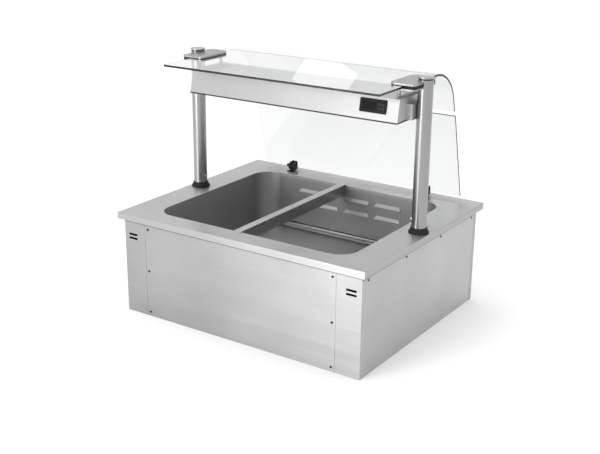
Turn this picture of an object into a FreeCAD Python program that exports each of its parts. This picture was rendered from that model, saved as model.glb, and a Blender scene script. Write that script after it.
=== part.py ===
import FreeCAD, Part
import math
import os

os.makedirs("parts", exist_ok=True)
Vector = FreeCAD.Vector

# Drop-in food well with a gantry. Millimetres, X along the front, the operator stands at -Y,
# Z up, origin under the middle of the counter top at the level of the base.

# Counter top
counter_length = 850.0
counter_depth = 712.0
counter_height = 315.0
counter_sheet = 2.0
counter_lip = 20.0
counter_fold_radius = 1.4
casing_inset = 15.0

# Sheet work and fits shared by all pieces
sheet = 1.5
overrun = 5.0
seam = 0.6
running_gap = 0.3
push_fit = 0.05
match = 0.01

# Well
well_side_rim = 93.5
well_front_rim = 66.0
well_rear_rim = 87.0
well_corner_radius = 60.0
well_depth = 175.0
well_floor_radius = 12.0
insulation_thickness = 30.0

# Rear air panel with pressed louvres
panel_end_margin = 4.0
panel_top_drop = 8.0
panel_lip_drop = 156.0
panel_lip = 13.0
louvre_row_drops = (39.0, 80.0)
louvre_height = 10.0
louvre_depth = 6.5
louvre_taper = 7.0
louvre_length_share = 0.1757
long_louvre_length_share = 0.286
louvre_gap_share = 0.0355
louvre_right_margin_share = 0.143
window_margin = 8.0

# Sill in front of the return air gap
sill_setback = 17.0
sill_height = 9.0
sill_flange = 12.0

# Divider bar
divider_shift = -27.0
divider_width = 24.0
divider_side = 35.0
divider_tab = 8.0
divider_clearance = 1.0

# Drain
drain_side_inset = 101.5
drain_front_inset = 90.0
drain_pipe_radius = 16.6
drain_bore_radius = 13.0
drain_flange_radius = 29.0
drain_flange_thickness = 3.0
drain_tail_end = 3.0
drain_spigot_radius = 16.0
drain_spigot_length = 80.0
drain_nut_radius = 25.0
drain_nut_height = 12.0
drain_base_clearance = 14.0
strainer_radius = 20.0
strainer_thickness = 1.5
strainer_hole_radius = 1.8
strainer_ring_radii = (7.0, 14.0)
strainer_ring_counts = (6, 12)

# Casing
strip_return = 14.0
joggle_width = 20.0
panel_return = 14.0
side_return = 10.0
rear_wrap = 16.0
base_upturn = 16.0
vent_length = 32.0
vent_height = 6.5
vent_pitch = 12.2
vent_drop = 66.0
vent_end_margin = 16.0
front_screw_top_drop = 40.0
front_screw_bottom = 13.0
front_screw_rows = 3
front_screw_inset = 11.0
side_screw_drop = 39.0
side_screw_margin = 32.0
side_screw_count = 4
screw_head_radius = 3.2
screw_head_height = 1.4
screw_shank_radius = 1.8
screw_length = 8.0
screw_recess_radius = 1.5
screw_recess_depth = 0.8
rail_height = 30.0
rail_foot = 8.0
rail_sheet = 3.0

# Cable gland in the rear panel
gland_side_inset = 110.0
gland_height = 60.0
gland_radius = 10.0
gland_hex_radius = 13.0
gland_hex_height = 5.0
gland_dome_height = 7.0
gland_dome_radius = 7.5
gland_dome_round = 2.3
gland_bore_radius = 4.0
gland_tail = 10.0

# Terminal box
terminal_length = 150.0
terminal_depth = 90.0
terminal_height_share = 0.52
terminal_side_inset = 220.0
terminal_rear_inset = 121.0
terminal_corner_radius = 6.0
terminal_cover = 12.0
terminal_cover_step = 2.0

# Gantry posts
post_edge = 34.0
post_line_y = -2.0
post_radius = 21.2
post_wall = 2.0
post_rise = 16.0
foot_spigot_height = 60.0
stud_radius = 6.0
stud_length = 32.0
post_screw_height = 37.0
post_screw_radius = 2.5
post_screw_head_radius = 4.5
post_screw_head_height = 3.0
post_screw_length = 9.0
backing_length = 90.0
backing_outer_reach = 8.5
backing_inner_reach = 20.0
backing_thickness = 5.0
nut_radius = 10.5
nut_height = 10.0
collar_radius = 29.0
collar_foot = 4.0
collar_waist_radius = 26.0
collar_step_height = 8.0
collar_top_radius = 23.6
collar_height = 16.0
cap_radius = 22.0
cap_thickness = 4.0
cap_groove_radius = 20.4
cap_groove_height = 4.0
cap_plug_depth = 12.0

# Glass clamps at the posts
clamp_outer_reach = 4.0
clamp_inner_reach = 73.0
clamp_length = 138.0
clamp_shift = -1.0
clamp_front_radius = 14.0
clamp_rear_radius = 30.0
clamp_outer_radius = 9.0
clamp_outer_rear_radius = 25.0
clamp_plate_thickness = 5.5
clamp_edge_round = 1.0
clamp_pad = 1.5
gasket_inset = 0.6
lower_plate_thickness = 4.0
clamp_bolt_inset = 56.0
clamp_bolt_pitch = 86.0
clamp_bolt_radius = 3.0
clamp_bolt_head_radius = 5.0
clamp_bolt_head_height = 4.0
clamp_bolt_engagement = 3.5
spacer_radius = 4.5

# Glass
glass_thickness = 6.0
glass_post_gap = 30.0
shelf_height = 417.0
shelf_front_reach = 198.0
shelf_bend_start = 126.0
shelf_bend_radius = 120.0
shelf_bend_angle = 76.0
shelf_tail = 35.0
glass_corner_radius = 3.0
glass_hole_radius = 5.0

# Rear glass and its pivoting clamps
rear_glass_gap_back = 8.4
rear_glass_gap_down = 16.1
hinge_edge = 40.25
hinge_height = 15.5
hinge_end_inset = 113.0
hinge_offset = 8.5
hinge_drop = 4.0
jaw_radius = 14.0
jaw_cheek = 8.0
jaw_plate = 3.5
jaw_plate_start = 1.0
jaw_plate_end = 13.0
shoe_thickness = 0.5
shoe_reach = 12.0
lug_width = 4.0
lug_radius = 3.5
lug_stem_front = 13.0
lug_stem_rear = 5.0
lug_foot_reach = 24.0
lug_foot_gap = 7.0
lug_foot_thickness = 2.0
hinge_pin_radius = 2.0
hinge_pin_head_radius = 5.0
hinge_pin_head_height = 2.0
hinge_knob_radius = 5.0
hinge_knob_length = 13.0
hinge_knob_flutes = 10
hinge_knob_flute_radius = 0.8

# Gantry housing
gantry_post_gap = 36.0
gantry_shelf_gap = 31.0
gantry_height = 65.5
gantry_bottom_width = 172.0
gantry_top_width = 148.0
gantry_frame_height = 4.0
gantry_lip = 14.0
bracket_width = 68.0
bracket_height = 44.5
bracket_reach = 17.0
diffuser_margin = 22.0
diffuser_ledge = 5.0
diffuser_thickness = 2.0
led_end_margin = 55.0
led_width = 30.0
led_height = 9.0
led_chip_count = 24
led_chip_size = 3.5
led_chip_height = 1.0

# Controller
controller_end_inset = 78.0
controller_length = 82.0
controller_height = 38.0
controller_depth = 4.0
controller_corner_radius = 2.5
controller_edge = 0.8
controller_drop = 25.0
controller_body_length = 71.0
controller_body_height = 29.0
controller_body_depth = 50.0
display_length = 44.0
display_height = 24.0
display_inset = 7.0
display_thickness = 1.6
display_recess = 0.6
button_width = 8.0
button_height = 6.0
button_proud = 1.2
button_length = 3.0
button_column_pitch = 11.0
button_row_pitch = 11.0
button_corner_radius = 1.5
button_column_inset = 8.5
button_names = (("up_button", "down_button"), ("set_button", "power_button"))

# Evaporator and fans behind the rear wall of the well
coil_end_margin = 67.5
coil_depth = 48.0
coil_height = 46.0
coil_top_drop = 132.0
fin_pitch = 16.0
fin_thickness = 0.8
tube_radius = 4.8
tube_rows = 2
tube_columns = 2
coil_plate_thickness = 1.5
fan_plate_drop = 99.0
fan_plate_sheet = 1.5
fan_spacing = 260.0
fan_size = 62.0
fan_depth = 25.0
fan_bore_radius = 28.6
fan_tip_radius = 27.8
fan_hub_radius = 13.5
fan_hub_height = 14.0
fan_blades = 7
fan_blade_thickness = 1.4
fan_blade_root_angle = 52.0
fan_blade_tip_angle = 30.0
fan_blade_height = 12.0
fan_motor_radius = 13.0
fan_motor_height = 7.0
fan_strut_width = 5.0
fan_strut_height = 4.0
fan_strut_count = 3
fan_shaft_radius = 2.5
fan_shaft_height = 9.0
fan_corner_radius = 5.0

# Places worked out from the sizes above
casing_x = counter_length / 2 - casing_inset
casing_y = counter_depth / 2 - casing_inset
underside = counter_height - counter_sheet
floor_level = counter_height - well_depth
well_length = counter_length - 2 * well_side_rim
well_front = well_front_rim - counter_depth / 2
well_rear = counter_depth / 2 - well_rear_rim
liner_rear = well_rear + sheet
drain_x = drain_side_inset - well_length / 2
drain_y = well_front + drain_front_inset
gland_x = casing_x - gland_side_inset
terminal_x = casing_x - terminal_side_inset
terminal_y = casing_y - terminal_rear_inset
post_x = counter_length / 2 - post_edge
panel_half = well_length / 2 - well_corner_radius - panel_end_margin
front_panel_half = well_length / 2
post_height = shelf_height + post_rise
gantry_top = shelf_height - gantry_shelf_gap
gantry_bottom = gantry_top - gantry_height
glass_bottom = counter_height + shelf_height
glass_top = glass_bottom + glass_thickness
gantry_base_z = counter_height + gantry_bottom
gantry_top_z = counter_height + gantry_top
lower_plate_top = glass_bottom - clamp_pad
lower_plate_bottom = lower_plate_top - lower_plate_thickness
upper_plate_bottom = glass_top + clamp_pad
gantry_end_x = post_x - gantry_post_gap
controller_x = gantry_end_x - controller_end_inset
glass_half = post_x - glass_post_gap
bend_start_y = post_line_y + shelf_bend_start
bend_centre_z = glass_bottom + glass_thickness / 2 - shelf_bend_radius
hinge_x = glass_half - hinge_end_inset
hinge_y = counter_depth / 2 - hinge_edge
hinge_z = counter_height + hinge_height
duct_rear = casing_y - sheet
coil_half = panel_half - coil_end_margin


def block(x0, x1, y0, y1, z0, z1):
    """Box between two corners."""
    return Part.makeBox(x1 - x0, y1 - y0, z1 - z0, Vector(x0, y0, z0))


def at(axis, along, a, b):
    """Point with one coordinate along an axis and the other two in order."""
    if axis == "x":
        return Vector(along, a, b)
    if axis == "y":
        return Vector(a, along, b)
    return Vector(a, b, along)


def prism(outline, axis, start, end):
    """Straight-sided outline drawn across an axis and extruded along it."""
    points = [at(axis, start, a, b) for a, b in outline]
    face = Part.Face(Part.makePolygon(points + points[:1]))
    return face.extrude(at(axis, end - start, 0, 0))


def rounded_prism(corners, axis, start, end):
    """Outline of (a, b, radius) corners, rounded where the radius isn't zero, extruded."""
    points = [at(axis, start, a, b) for a, b, radius in corners]
    arcs = []
    for index, (a, b, radius) in enumerate(corners):
        corner = points[index]
        back = (points[index - 1] - corner).normalize()
        ahead = (points[(index + 1) % len(points)] - corner).normalize()
        if radius == 0:
            arcs.append((corner, corner, corner))
            continue
        half_angle = back.getAngle(ahead) / 2
        reach = radius / math.tan(half_angle)
        centre = corner + (back + ahead).normalize() * (radius / math.sin(half_angle))
        middle = centre + (corner - centre).normalize() * radius
        arcs.append((corner + back * reach, middle, corner + ahead * reach))
    edges = []
    for index, (first, middle, last) in enumerate(arcs):
        if not first.isEqual(last, match):
            edges.append(Part.Arc(first, middle, last).toShape())
        following = arcs[(index + 1) % len(arcs)][0]
        if not last.isEqual(following, match):
            edges.append(Part.makeLine(last, following))
    face = Part.Face(Part.Wire(edges))
    return face.extrude(at(axis, end - start, 0, 0))


def rectangle(a0, a1, b0, b1, radius):
    """Corners of a rectangle, all with one radius, for rounded_prism."""
    return [(a0, b0, radius), (a1, b0, radius), (a1, b1, radius), (a0, b1, radius)]


def folded_outline(path, thickness):
    """Closed outline of a sheet folded along a path, its thickness on the left-hand side."""
    normals = []
    for (a0, b0), (a1, b1) in zip(path, path[1:]):
        run = math.hypot(a1 - a0, b1 - b0)
        normals.append(((b0 - b1) / run, (a1 - a0) / run))
    inner = []
    for index, (a, b) in enumerate(path):
        before = normals[max(index - 1, 0)]
        after = normals[min(index, len(normals) - 1)]
        share = 1 + before[0] * after[0] + before[1] * after[1]
        offset_a = thickness * (before[0] + after[0]) / share
        offset_b = thickness * (before[1] + after[1]) / share
        inner.append((a + offset_a, b + offset_b))
    return list(path) + inner[::-1]


def rod(axis, radius, a, b, start, end):
    """Cylinder along an axis between two places on it."""
    direction = at(axis, 1, 0, 0)
    return Part.makeCylinder(radius, end - start, at(axis, start, a, b), direction)


def tube(axis, outer, inner, a, b, start, end):
    """Pipe along an axis."""
    bore = drill(axis, inner, a, b, start, end)
    return rod(axis, outer, a, b, start, end).cut(bore)


def drill(axis, radius, a, b, start, end):
    """Tool for a hole from start to end that overruns both."""
    return rod(axis, radius, a, b, start - overrun, end + overrun)


def hexagon(axis, radius, a, b, start, end):
    """Six-sided bar along an axis, its radius taken to the corners."""
    corners = []
    for index in range(6):
        angle = math.radians(60 * index)
        corners.append((a + radius * math.cos(angle), b + radius * math.sin(angle)))
    return prism(corners, axis, start, end)


def turned(profile, x, y, z):
    """Body turned about an upright line from (radius, height) points."""
    points = [Vector(radius, 0, height) for radius, height in profile]
    face = Part.Face(Part.makePolygon(points + points[:1]))
    body = face.revolve(Vector(0, 0, 0), Vector(0, 0, 1), 360)
    body.translate(Vector(x, y, z))
    return body


def fused(shapes):
    """One solid from pieces that touch."""
    whole = shapes[0]
    for shape in shapes[1:]:
        whole = whole.fuse(shape)
    return whole.removeSplitter()


def mirrored(shape):
    """Left-hand twin of a right-hand piece."""
    return shape.mirror(Vector(0, 0, 0), Vector(1, 0, 0))


def level_edges(shape, level):
    """Edges that lie at one height."""
    found = []
    for edge in shape.Edges:
        box = edge.BoundBox
        if abs(box.ZMin - level) < match and abs(box.ZMax - level) < match:
            found.append(edge)
    return found


def spread(count, reach):
    """Evenly spaced places from -reach to +reach."""
    return [-reach + 2 * reach * index / (count - 1) for index in range(count)]


def save(name, shapes):
    """Write one piece, or a group of like pieces, as its own file."""
    group = shapes if isinstance(shapes, list) else [shapes]
    solids = [solid for shape in group for solid in shape.Solids]
    whole = solids[0] if len(solids) == 1 else Part.makeCompound(solids)
    whole.exportStep("parts/" + name + ".step")
    volume = sum(solid.Volume for solid in solids) / 1000
    print(name, len(solids), "solids", round(volume, 1), "cm3", "valid" if whole.isValid() else "NOT VALID")


# Well and counter

def well_form(grow, bottom, top):
    """Rounded form of the well, grown sideways by a wall, between two levels."""
    half = well_length / 2 + grow
    corners = rectangle(-half, half, well_front - grow, well_rear + grow, well_corner_radius + grow)
    return rounded_prism(corners, "z", bottom, top)


def counter_top():
    half_length = counter_length / 2
    half_depth = counter_depth / 2
    inner_length = half_length - counter_sheet
    inner_depth = half_depth - counter_sheet
    lip_end = counter_height - counter_lip
    top = block(-half_length, half_length, -half_depth, half_depth, lip_end, counter_height)
    top = top.cut(block(-inner_length, inner_length, -inner_depth, inner_depth, lip_end - overrun, underside))
    top = top.cut(well_form(0, underside - overrun, counter_height + overrun))
    top = top.makeFillet(counter_fold_radius, level_edges(top, counter_height))
    for x in (-post_x, post_x):
        hole = stud_radius + running_gap
        top = top.cut(drill("z", hole, x, post_line_y, underside, counter_height))
    return top


def liner_outside():
    form = well_form(sheet, floor_level - sheet, underside)
    return form.makeFillet(well_floor_radius + sheet, level_edges(form, floor_level - sheet))


def well_liner():
    inside = well_form(0, floor_level, underside + overrun)
    inside = inside.makeFillet(well_floor_radius, level_edges(inside, floor_level))
    liner = liner_outside().cut(inside)
    window_x = panel_half - window_margin
    supply_top = counter_height - louvre_row_drops[0] + window_margin
    supply_bottom = counter_height - louvre_row_drops[-1] - louvre_height - window_margin
    return_top = counter_height - panel_lip_drop + window_margin
    wall_front = well_rear - well_floor_radius / 2
    wall_back = liner_rear + overrun
    liner = liner.cut(block(-window_x, window_x, wall_front, wall_back, supply_bottom, supply_top))
    return_bottom = floor_level + sill_height
    liner = liner.cut(block(-window_x, window_x, wall_front, wall_back, return_bottom, return_top))
    hole = drain_pipe_radius + running_gap
    return liner.cut(drill("z", hole, drain_x, drain_y, floor_level - sheet, floor_level))


def louvre_ranges():
    """Start and end of each louvre in a row, from the right: two short ones and a long one."""
    ranges = []
    width = 2 * panel_half
    right = panel_half - louvre_right_margin_share * width
    for share in (louvre_length_share, louvre_length_share, long_louvre_length_share):
        length = share * width
        ranges.append((right - length, right))
        right = right - length - louvre_gap_share * width
    return ranges


def hood(x0, x1, wall, top, mouth, depth, foot):
    """Wedge that leaves the wall at its top, stands out furthest at its mouth and tapers at both ends."""
    side = prism([(wall, top), (wall - depth, mouth), (wall - depth, foot), (wall, foot)], "x", x0, x1)
    spread_down = louvre_taper * (mouth - foot) / (top - mouth)
    ends = [
        (x0 - spread_down, foot),
        (x1 + spread_down, foot),
        (x1 - louvre_taper, top),
        (x0 + louvre_taper, top),
    ]
    return side.common(prism(ends, "y", wall - depth - overrun, wall))


def rear_air_panel():
    face = well_rear - sheet
    lip_level = counter_height - panel_lip_drop
    path = [
        (face - panel_lip + sheet, lip_level),
        (well_rear, lip_level),
        (well_rear, counter_height - panel_top_drop),
    ]
    panel = prism(folded_outline(path, sheet), "x", -panel_half, panel_half)
    slant = math.hypot(louvre_depth, louvre_height)
    skin_drop = sheet * slant / louvre_depth
    skin_depth = sheet * slant / louvre_height
    for drop in louvre_row_drops:
        top = counter_height - drop
        bottom = top - louvre_height
        for x0, x1 in louvre_ranges():
            outer = hood(x0, x1, face, top, bottom, louvre_depth, bottom)
            inside_depth = louvre_depth - skin_depth
            foot = bottom - overrun
            hollow = hood(x0 + sheet, x1 - sheet, face, top - skin_drop, bottom, inside_depth, foot)
            hollow = hollow.common(block(x0 + sheet, x1 - sheet, face - louvre_depth, face, foot, top))
            slot_top = top - skin_drop
            slot_left = x0 + louvre_taper
            slot_right = x1 - louvre_taper
            slot = block(slot_left, slot_right, face - match, well_rear + overrun, bottom, slot_top)
            panel = fused([panel, outer]).cut(hollow).cut(slot)
    return panel


def air_return_sill():
    rear = well_rear - sill_setback
    path = [
        (rear - sill_flange, floor_level + sill_height),
        (rear, floor_level + sill_height),
        (rear, floor_level),
    ]
    return prism(folded_outline(path[::-1], sheet), "x", -panel_half, panel_half)


def divider_bar():
    left = divider_shift - divider_width / 2
    right = divider_shift + divider_width / 2
    top = counter_height + sheet
    path = [(left, top - divider_side), (left, top), (right, top), (right, top - divider_side)]
    channel_front = well_front + divider_clearance
    channel_rear = well_rear - sheet - divider_clearance
    channel = prism(folded_outline(path[::-1], sheet), "y", channel_front, channel_rear)
    strap = block(left, right, well_front - divider_tab, well_rear + divider_tab, counter_height, top)
    return fused([channel, strap])


def well_insulation():
    reach = well_length / 2 + sheet + insulation_thickness
    front = well_front - sheet - insulation_thickness
    rear = well_rear - well_floor_radius
    bottom = floor_level - sheet - insulation_thickness
    jacket = block(-reach, reach, front, rear, bottom, underside)
    jacket = jacket.cut(liner_outside())
    pocket = drain_nut_radius + running_gap
    nut_level = floor_level - sheet - drain_nut_height - running_gap
    jacket = jacket.cut(rod("z", pocket, drain_x, drain_y, nut_level, floor_level))
    pipe = drain_pipe_radius + running_gap
    return jacket.cut(rod("z", pipe, drain_x, drain_y, bottom - overrun, floor_level))


# Drain

def drain_fitting():
    flange_top = floor_level + drain_flange_thickness
    recess = strainer_radius + running_gap
    profile = [
        (drain_bore_radius, drain_tail_end),
        (drain_spigot_radius, drain_tail_end),
        (drain_spigot_radius, drain_tail_end + drain_spigot_length),
        (drain_pipe_radius, drain_tail_end + drain_spigot_length),
        (drain_pipe_radius, floor_level),
        (drain_flange_radius, floor_level),
        (drain_flange_radius - sheet, flange_top),
        (recess, flange_top),
        (recess, flange_top - strainer_thickness),
        (drain_bore_radius, flange_top - strainer_thickness),
    ]
    return turned(profile, drain_x, drain_y, 0)


def drain_nut():
    top = floor_level - sheet
    body = hexagon("z", drain_nut_radius, drain_x, drain_y, top - drain_nut_height, top)
    bore = drain_pipe_radius + push_fit
    return body.cut(drill("z", bore, drain_x, drain_y, top - drain_nut_height, top))


def drain_strainer():
    top = floor_level + drain_flange_thickness
    bottom = top - strainer_thickness
    disc = rod("z", strainer_radius, drain_x, drain_y, bottom, top)
    for ring, count in zip(strainer_ring_radii, strainer_ring_counts):
        for index in range(count):
            angle = 2 * math.pi * index / count
            x = drain_x + ring * math.cos(angle)
            y = drain_y + ring * math.sin(angle)
            disc = disc.cut(drill("z", strainer_hole_radius, x, y, bottom, top))
    return disc


# Casing

def screw(axis, a, b, face, outward):
    """Pan-head screw standing on a panel face, its head on the outward side."""
    head_end = face + outward * screw_head_height
    head = rod(axis, screw_head_radius, a, b, min(face, head_end), max(face, head_end))
    floor = head_end - outward * screw_recess_depth
    mouth = head_end + outward * overrun
    recess = hexagon(axis, screw_recess_radius, a, b, min(floor, mouth), max(floor, mouth))
    tail = face - outward * screw_length
    shank = rod(axis, screw_shank_radius, a, b, min(face, tail), max(face, tail))
    return fused([head, shank]).cut(recess)


def front_screw_places():
    """Places (x, z) of the screws that hold the front panel."""
    across = front_panel_half - front_screw_inset
    top = counter_height - front_screw_top_drop
    middle = (top + front_screw_bottom) / 2
    heights = spread(front_screw_rows, (top - front_screw_bottom) / 2)
    return [(x, middle + height) for x in (-across, across) for height in heights]


def side_screw_places():
    """Places (y, z) of the screws along the top of one side panel."""
    reach = casing_y - side_screw_margin
    return [(y, counter_height - side_screw_drop) for y in spread(side_screw_count, reach)]


def with_holes(body, axis, places, radius, start, end):
    """Body drilled right through at each place."""
    for a, b in places:
        body = body.cut(drill(axis, radius, a, b, start, end))
    return body


def front_panel():
    half = front_panel_half - seam / 2
    front = -casing_y
    path = [
        (front + panel_return, underside),
        (front, underside),
        (front, 0),
        (front + panel_return, 0),
    ]
    panel = prism(folded_outline(path, sheet), "x", -half, half)
    notch = front_panel_half - joggle_width - seam
    notch_rear = front + panel_return + overrun
    for side in (-1, 1):
        near = min(side * notch, side * (half + overrun))
        far = max(side * notch, side * (half + overrun))
        panel = panel.cut(block(near, far, front + sheet, notch_rear, -overrun, counter_height))
    clearance = screw_shank_radius + push_fit
    return with_holes(panel, "y", front_screw_places(), clearance, front, front + sheet)


def right_front_strip():
    outer = casing_x
    front = -casing_y
    inner = front_panel_half + seam / 2
    joggle = front + sheet
    plate = block(inner, outer, front, joggle, 0, underside)
    corner = block(outer - 2 * sheet, outer - sheet, joggle, joggle + strip_return, sheet, underside)
    flange_start = front_panel_half - joggle_width
    flange = block(flange_start, inner + 2 * sheet, joggle, joggle + sheet, sheet, underside)
    strip = fused([plate, corner, flange])
    vent_end = outer - vent_end_margin
    half_height = vent_height / 2
    for index in range(2):
        z = counter_height - vent_drop - index * vent_pitch
        corners = rectangle(vent_end - vent_length, vent_end, z - half_height, z + half_height, sheet / 2)
        strip = strip.cut(rounded_prism(corners, "y", front - overrun, joggle + overrun))
    places = [(x, z) for x, z in front_screw_places() if x > 0]
    return with_holes(strip, "y", places, screw_shank_radius + push_fit, joggle, joggle + sheet)


def right_side_panel():
    outer = casing_x
    front = -casing_y + sheet
    rear = casing_y - rear_wrap - seam
    path = [
        (outer - side_return, 0),
        (outer, 0),
        (outer, underside),
        (outer - side_return, underside),
    ]
    panel = prism(folded_outline(path, sheet), "y", front, rear)
    inner_end = outer - side_return - overrun
    corner_end = front + strip_return + running_gap
    panel = panel.cut(block(inner_end, outer - sheet, front - overrun, corner_end, -overrun, counter_height))
    clearance = screw_shank_radius + push_fit
    return with_holes(panel, "x", side_screw_places(), clearance, outer - sheet, outer)


def rear_panel():
    rear = casing_y
    wrap = rear - rear_wrap
    path = [(casing_x, wrap), (casing_x, rear), (-casing_x, rear), (-casing_x, wrap)]
    panel = prism(folded_outline(path, sheet), "z", 0, underside)
    hole = gland_radius + push_fit
    return panel.cut(drill("y", hole, gland_x, gland_height, rear - sheet, rear))


def base_plate():
    half = casing_x - sheet - 2 * sheet
    front = -casing_y + screw_length + seam
    rear = casing_y - sheet
    path = [
        (front, base_upturn + sheet),
        (front, sheet),
        (rear, sheet),
        (rear, base_upturn + sheet),
    ]
    tray = prism(folded_outline(path, sheet), "x", -half, half)
    hole = drain_pipe_radius + drain_base_clearance
    return tray.cut(rod("z", hole, drain_x, drain_y, -overrun, base_upturn))


def front_panel_screws():
    return [screw("y", x, z, -casing_y, -1) for x, z in front_screw_places()]


def side_panel_screws():
    screws = []
    for side in (-1, 1):
        for y, z in side_screw_places():
            screws.append(screw("x", y, z, side * casing_x, side))
    return screws


def side_rail():
    """Angle under the right edge of the counter that the side panel is screwed to."""
    outer = casing_x - sheet
    front = -casing_y + 2 * sheet + strip_return + seam
    rear = casing_y - rear_wrap - seam
    top = underside - sheet
    path = [(outer - rail_foot, top), (outer, top), (outer, top - rail_height)]
    rail = prism(folded_outline(path[::-1], rail_sheet), "y", front, rear)
    clearance = screw_shank_radius + push_fit
    return with_holes(rail, "x", side_screw_places(), clearance, outer - rail_sheet, outer)


def cable_gland():
    rear = casing_y
    inside = rear - sheet
    body = hexagon("y", gland_hex_radius, gland_x, gland_height, rear, rear + gland_hex_height)
    dome_end = rear + gland_hex_height + gland_dome_height
    dome = rod("y", gland_dome_radius, gland_x, gland_height, rear, dome_end)
    dome = dome.makeFillet(gland_dome_round, [dome.Edges[0]])
    tail = rod("y", gland_radius, gland_x, gland_height, inside - gland_tail, rear)
    backnut = hexagon("y", gland_hex_radius, gland_x, gland_height, inside - gland_tail / 2, inside)
    whole = fused([body, dome, tail, backnut])
    return whole.cut(drill("y", gland_bore_radius, gland_x, gland_height, inside - gland_tail, dome_end))


def terminal_box():
    x0 = terminal_x - terminal_length / 2
    x1 = terminal_x + terminal_length / 2
    y0 = terminal_y - terminal_depth / 2
    y1 = terminal_y + terminal_depth / 2
    bottom = 2 * sheet
    room = floor_level - sheet - insulation_thickness - bottom
    top = bottom + terminal_height_share * room
    split = top - terminal_cover
    corners = rectangle(x0, x1, y0, y1, terminal_corner_radius)
    step = terminal_cover_step
    lid_corners = rectangle(x0 - step, x1 + step, y0 - step, y1 + step, terminal_corner_radius + step)
    return fused([rounded_prism(corners, "z", bottom, split), rounded_prism(lid_corners, "z", split, top)])


# Posts

def post():
    top = counter_height + post_height
    tube_shape = tube("z", post_radius, post_radius - post_wall, post_x, post_line_y, counter_height, top)
    hole = post_screw_radius + push_fit
    z = counter_height + post_screw_height
    return tube_shape.cut(rod("x", hole, post_line_y, z, post_x - post_radius - overrun, post_x))


def post_foot():
    spigot = post_radius - post_wall - push_fit
    top = foot_spigot_height
    profile = [
        (0, -stud_length),
        (stud_radius, -stud_length),
        (stud_radius, 0),
        (spigot, 0),
        (spigot, top - sheet),
        (spigot - sheet, top),
        (0, top),
    ]
    foot = turned(profile, post_x, post_line_y, counter_height)
    hole = post_screw_radius + push_fit
    z = counter_height + post_screw_height
    return foot.cut(rod("x", hole, post_line_y, z, post_x - post_radius - overrun, post_x))


def post_screw():
    z = counter_height + post_screw_height
    face = post_x - post_radius
    head = rod("x", post_screw_head_radius, post_line_y, z, face - post_screw_head_height, face)
    shank = rod("x", post_screw_radius, post_line_y, z, face, face + post_screw_length)
    socket_end = face - post_screw_head_height + screw_recess_depth
    socket = hexagon("x", screw_recess_radius, post_line_y, z, socket_end - overrun, socket_end)
    return fused([head, shank]).cut(socket)


def backing_plate():
    half_length = backing_length / 2
    inner = post_x - backing_inner_reach
    outer = post_x + backing_outer_reach
    corners = rectangle(inner, outer, post_line_y - half_length, post_line_y + half_length, sheet)
    plate = rounded_prism(corners, "z", underside - backing_thickness, underside)
    hole = stud_radius + running_gap
    return plate.cut(drill("z", hole, post_x, post_line_y, underside - backing_thickness, underside))


def post_nut():
    top = underside - backing_thickness
    body = hexagon("z", nut_radius, post_x, post_line_y, top - nut_height, top)
    bore = stud_radius + push_fit
    return body.cut(drill("z", bore, post_x, post_line_y, top - nut_height, top))


def post_collar():
    bore = post_radius + running_gap
    profile = [
        (bore, 0),
        (collar_radius, 0),
        (collar_radius, collar_foot),
        (collar_waist_radius, collar_step_height),
        (collar_waist_radius - sheet, collar_step_height),
        (collar_top_radius, collar_height),
        (bore, collar_height),
    ]
    return turned(profile, post_x, post_line_y, counter_height)


def post_cap():
    plug = post_radius - post_wall - push_fit
    rim = cap_groove_height
    top = cap_groove_height + cap_thickness
    profile = [
        (0, -cap_plug_depth),
        (plug, -cap_plug_depth),
        (plug, 0),
        (cap_groove_radius, 0),
        (cap_groove_radius, rim),
        (cap_radius, rim),
        (cap_radius, top - sheet / 2),
        (cap_radius - sheet / 2, top),
        (0, top),
    ]
    return turned(profile, post_x, post_line_y, counter_height + post_height)


# Clamps between the posts, the glass shelf and the gantry

def clamp_form(inset, bottom, top):
    """Rounded plate beside the right post, notched round the tube."""
    outer = post_x + clamp_outer_reach - inset
    inner = post_x - clamp_inner_reach + inset
    middle = post_line_y + clamp_shift
    front = middle - clamp_length / 2 + inset
    rear = middle + clamp_length / 2 - inset
    corners = [
        (outer, front, clamp_outer_radius),
        (outer, rear, clamp_outer_rear_radius),
        (inner, rear, clamp_rear_radius),
        (inner, front, clamp_front_radius),
    ]
    plate = rounded_prism(corners, "z", bottom, top)
    notch = post_radius + running_gap / 2
    return plate.cut(drill("z", notch, post_x, post_line_y, bottom, top))


def clamp_bolt_places():
    """Places (x, y) of the two bolts of the right clamp."""
    x = post_x - clamp_bolt_inset
    middle = post_line_y + clamp_shift
    return [(x, middle - clamp_bolt_pitch / 2), (x, middle + clamp_bolt_pitch / 2)]


def clamp_plate():
    top = upper_plate_bottom + clamp_plate_thickness
    plate = clamp_form(0, upper_plate_bottom, top)
    plate = plate.makeChamfer(clamp_edge_round, level_edges(plate, top))
    for x, y in clamp_bolt_places():
        hole = clamp_bolt_radius + push_fit
        hole_end = upper_plate_bottom + clamp_bolt_engagement
        plate = plate.cut(rod("z", hole, x, y, upper_plate_bottom - overrun, hole_end))
    return plate


def glass_gasket():
    gasket = clamp_form(gasket_inset, lower_plate_top, upper_plate_bottom)
    gasket = gasket.cut(block(0, glass_half, -counter_depth, bend_start_y, glass_bottom, glass_top))
    hole = clamp_bolt_radius + running_gap
    return with_holes(gasket, "z", clamp_bolt_places(), hole, lower_plate_top, upper_plate_bottom)


def lower_clamp_plate():
    plate = clamp_form(0, lower_plate_bottom, lower_plate_top)
    hole = clamp_bolt_radius + running_gap
    return with_holes(plate, "z", clamp_bolt_places(), hole, lower_plate_bottom, lower_plate_top)


def clamp_spacers():
    bore = clamp_bolt_radius + running_gap
    places = clamp_bolt_places()
    return [tube("z", spacer_radius, bore, x, y, gantry_top_z, lower_plate_bottom) for x, y in places]


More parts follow.
